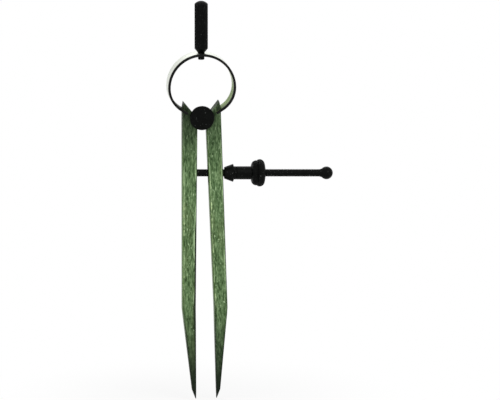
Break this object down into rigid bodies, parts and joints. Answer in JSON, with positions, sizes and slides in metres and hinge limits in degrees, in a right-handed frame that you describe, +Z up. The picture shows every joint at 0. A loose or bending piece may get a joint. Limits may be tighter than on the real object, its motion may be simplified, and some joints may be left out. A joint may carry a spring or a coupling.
{
  "type": "spring divider",
  "caption": "Spring divider with two pointed flat legs, a bow spring, a knurled handle and an adjusting screw with a quick-release nut, for stepping off distances.",
  "frame": {"origin": "on the handle's axis, half way up the straight part of the grip", "axes": "+Z up the handle away from the points, +X towards the stop ball of the screw, -Y out of the front face"},
  "size_m": [0.0884, 0.0144, 0.215],
  "materials": {
    "leg_steel": "steel brushed along the leg, green tinted, dark at the hardened points",
    "bow_steel": "green tinted spring steel strip with black edges",
    "black_oxide": "satin black oxide"
  },
  "bodies": {
    "bow_frame": {"bow_spring": "bow_steel", "handle": "black_oxide", "handle_rivet": "black_oxide", "fulcrum_stud": "black_oxide", "fulcrum_washer": "black_oxide"},
    "right_leg": {"right_leg": "leg_steel"},
    "left_leg": {"left_leg": "leg_steel", "screw_pivot_pin": "leg_steel"},
    "screw": {"adjusting_screw": "black_oxide", "screw_stop_ball": "black_oxide"},
    "cup": {"nut_cup": "black_oxide"},
    "nut": {"nut_jaw_front": "black_oxide", "nut_jaw_rear": "black_oxide", "nut_ring_spring": "black_oxide"}
  },
  "joints": [
    {"name": "right_leg_swing", "type": "hinge", "parent": "bow_frame", "child": "right_leg", "pos_m": [0, 0, -0.04885], "axis": [0, -1, 0], "range_deg": [-1.95, 26.5], "deforming": ["bow_spring"]},
    {"name": "left_leg_swing", "type": "hinge", "parent": "bow_frame", "child": "left_leg", "pos_m": [0, 0, -0.04885], "axis": [0, 1, 0], "range_deg": [-1.95, 26.5]},
    {"name": "screw_swivel", "type": "hinge", "parent": "left_leg", "child": "screw", "pos_m": [-0.00645, 0, -0.07894], "axis": [0, -1, 0], "range_deg": [-1.95, 26.5]},
    {"name": "cup_slide", "type": "slide", "parent": "screw", "child": "cup", "axis": [0.9997, 0, -0.0236], "range_m": [-0.0022, 0.0283]},
    {"name": "nut_spin", "type": "hinge", "parent": "cup", "child": "nut", "pos_m": [-0.00645, 0, -0.07894], "axis": [0.9997, 0, -0.0236], "continuous": true}
  ],
  "couplings": [
    {"joint": "left_leg_swing", "follows": "right_leg_swing", "ratio": 1},
    {"joint": "screw_swivel", "follows": "right_leg_swing", "ratio": 1},
    {"joint": "cup_slide", "follows": "right_leg_swing", "m_per_rad": 0.061}
  ]
}
